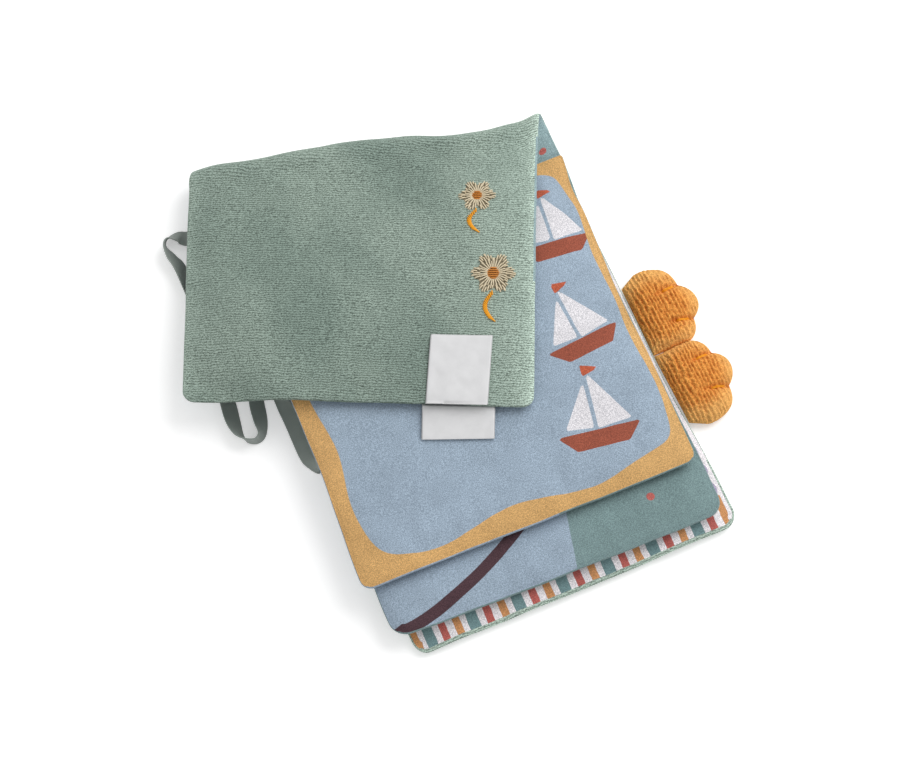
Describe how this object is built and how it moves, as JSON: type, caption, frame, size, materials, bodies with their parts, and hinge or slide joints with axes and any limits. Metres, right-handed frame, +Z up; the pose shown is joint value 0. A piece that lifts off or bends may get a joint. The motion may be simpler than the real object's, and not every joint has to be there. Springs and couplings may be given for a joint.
{
  "type": "baby soft book",
  "caption": "Padded cloth baby book with printed leaves, plush feet and a side ribbon; the back cover is folded over the pile.",
  "frame": {"origin": "centre of the front cover's flat underside, on which the book lies", "axes": "+Z up through the pile, +Y from the leaves' free edges towards the spine, +X along the spine"},
  "size_m": [0.2459, 0.2652, 0.0293],
  "materials": {
    "sage_velour": "soft cut-pile velour",
    "teal_lining": "printed brushed knit",
    "striped_lining": "printed brushed knit, striped",
    "page_print": "printed brushed knit",
    "orange_plush": "ribbed terry plush",
    "wadding": "loose white fibre",
    "label_satin": "woven satin",
    "ribbon_satin": "satin",
    "cream_thread": "embroidery thread",
    "orange_thread": "embroidery thread",
    "yellow_thread": "embroidery thread"
  },
  "bodies": {
    "front_cover": {"front_cover_lining": "striped_lining", "front_cover_velour": "sage_velour", "front_cover_wadding": "wadding"},
    "spine": {"fold_lining": "teal_lining", "fold_velour": "sage_velour", "fold_wadding": "wadding", "spine_lining": "teal_lining", "spine_velour": "sage_velour", "spine_wadding": "wadding"},
    "back_cover": {"back_cover_lining": "teal_lining", "back_cover_velour": "sage_velour", "back_cover_wadding": "wadding", "flower_1_centre": "orange_thread", "flower_1_petals": "cream_thread", "flower_1_stem": "yellow_thread", "flower_2_centre": "orange_thread", "flower_2_petals": "cream_thread", "flower_2_stem": "yellow_thread"},
    "leaf_1": {"leaf_1_lower_panel": "teal_lining", "leaf_1_upper_panel": "page_print", "leaf_1_wadding": "wadding"},
    "leaf_2": {"leaf_2_lower_panel": "teal_lining", "leaf_2_upper_panel": "page_print", "leaf_2_wadding": "wadding"},
    "foot_1": {"foot_1_bottom_plush": "orange_plush", "foot_1_filling": "wadding", "foot_1_toe_stitch_1": "yellow_thread", "foot_1_toe_stitch_2": "yellow_thread", "foot_1_top_plush": "orange_plush"},
    "foot_2": {"foot_2_bottom_plush": "orange_plush", "foot_2_filling": "wadding", "foot_2_toe_stitch_1": "yellow_thread", "foot_2_toe_stitch_2": "yellow_thread", "foot_2_top_plush": "orange_plush"},
    "care_label": {"care_label": "label_satin"},
    "loop_label": {"loop_label": "label_satin"},
    "side_ribbon": {"side_ribbon": "ribbon_satin"}
  },
  "joints": [
    {"name": "front_cover_open", "type": "hinge", "parent": "front_cover", "child": "spine", "pos_m": [0, 0.0825, 0.0022], "axis": [1, 0, 0], "range_deg": [-110, 0]},
    {"name": "back_cover_fold", "type": "hinge", "parent": "spine", "child": "back_cover", "pos_m": [0.0785, 0.13516, 0.009], "axis": [-0.9789, 0.2045, 0], "range_deg": [0, 165], "deforming": ["fold_velour", "fold_lining", "fold_wadding"]},
    {"name": "leaf_2_turn", "type": "hinge", "parent": "spine", "child": "leaf_2", "pos_m": [0, 0.1155, 0.008], "axis": [-1, 0, 0], "range_deg": [0, 146]},
    {"name": "leaf_1_turn", "type": "hinge", "parent": "spine", "child": "leaf_1", "pos_m": [0, 0.092, 0.008], "axis": [-1, 0, 0], "range_deg": [0, 133]},
    {"name": "foot_1_swing", "type": "hinge", "parent": "front_cover", "child": "foot_1", "pos_m": [0.07823, 0.0245, 0.0046], "axis": [0.0212, -0.9998, 0], "range_deg": [0, 60]},
    {"name": "foot_2_swing", "type": "hinge", "parent": "front_cover", "child": "foot_2", "pos_m": [0.07967, -0.0125, 0.0046], "axis": [0.0212, -0.9998, 0], "range_deg": [0, 60]},
    {"name": "ribbon_swing", "type": "hinge", "parent": "spine", "child": "side_ribbon", "pos_m": [-0.0865, 0.0825, 0.0022], "axis": [0, 1, 0], "range_deg": [-60, 0]},
    {"name": "care_label_flip", "type": "hinge", "parent": "back_cover", "child": "care_label", "pos_m": [-0.01819, 0.01022, 0.0273], "axis": [0.9164, -0.4003, 0], "range_deg": [0, 80]},
    {"name": "loop_label_flip", "type": "hinge", "parent": "back_cover", "child": "loop_label", "pos_m": [-0.01819, 0.01022, 0.0246], "axis": [-0.9164, 0.4003, 0], "range_deg": [0, 45]}
  ],
  "couplings": [
    {"joint": "leaf_2_turn", "follows": "back_cover_fold", "ratio": 0.88},
    {"joint": "leaf_1_turn", "follows": "back_cover_fold", "ratio": 0.8}
  ]
}
